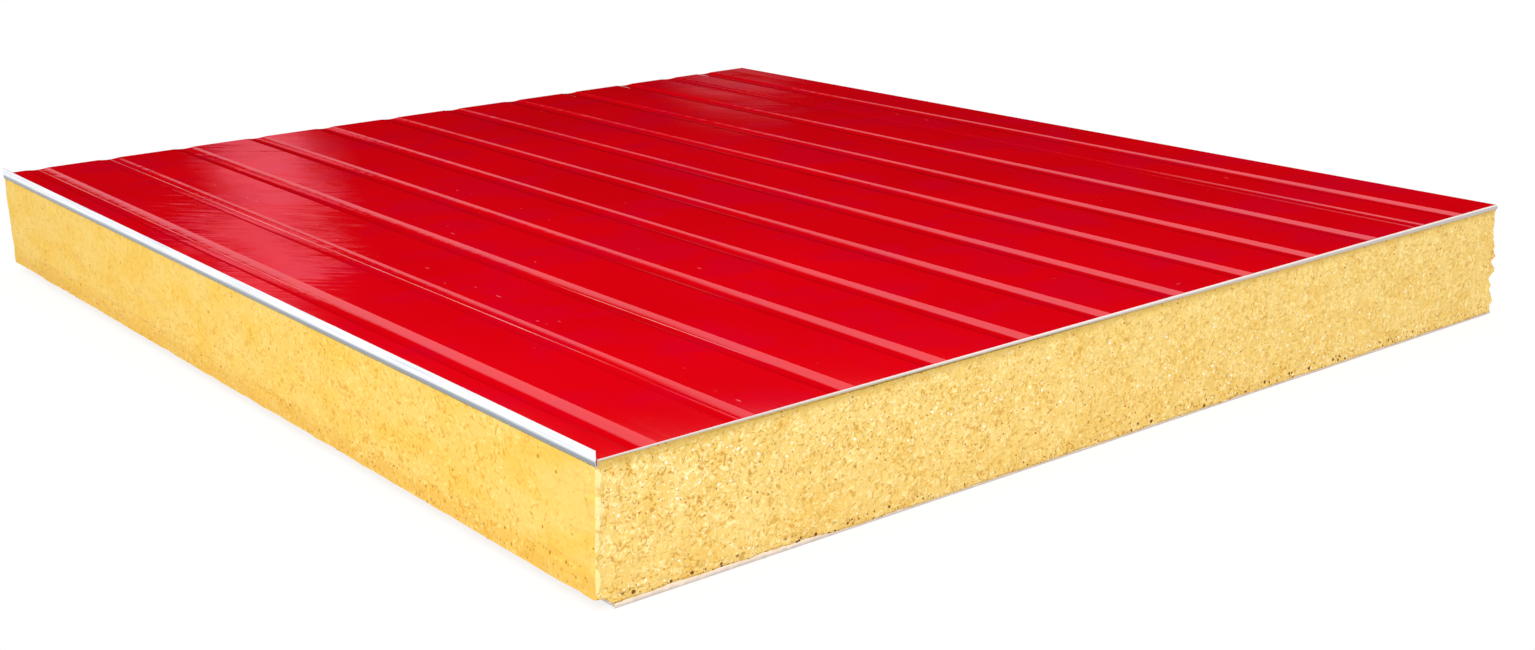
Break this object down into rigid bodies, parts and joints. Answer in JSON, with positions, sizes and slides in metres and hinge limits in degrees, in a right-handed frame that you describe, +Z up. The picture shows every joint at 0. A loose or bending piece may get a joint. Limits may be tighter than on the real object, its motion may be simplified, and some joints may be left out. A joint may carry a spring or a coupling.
{
  "type": "insulated sandwich panel",
  "caption": "Flat roof or wall panel of rigid foam between two painted steel sheets, the outer one with shallow grooves and a standing hem.",
  "frame": {"origin": "middle of the panel's outline, level with the underside of the inner facing", "axes": "+Z up through the thickness towards the grooved outer facing, +Y along the grooves towards the square-cut end, +X across the panel from the hem towards the rolled edge"},
  "size_m": [0.956, 1.08, 0.1071],
  "materials": {
    "outer_coat": "gloss red coil coating on galvanised steel, white backing coat on the reverse",
    "foam": "rigid polyurethane foam, sawn cells at the cut faces, thin skin at the moulded side",
    "inner_coat": "satin white coil coating on galvanised steel"
  },
  "bodies": {
    "root": {"outer_facing": "outer_coat", "foam_core": "foam", "inner_facing": "inner_coat"}
  },
  "joints": []
}
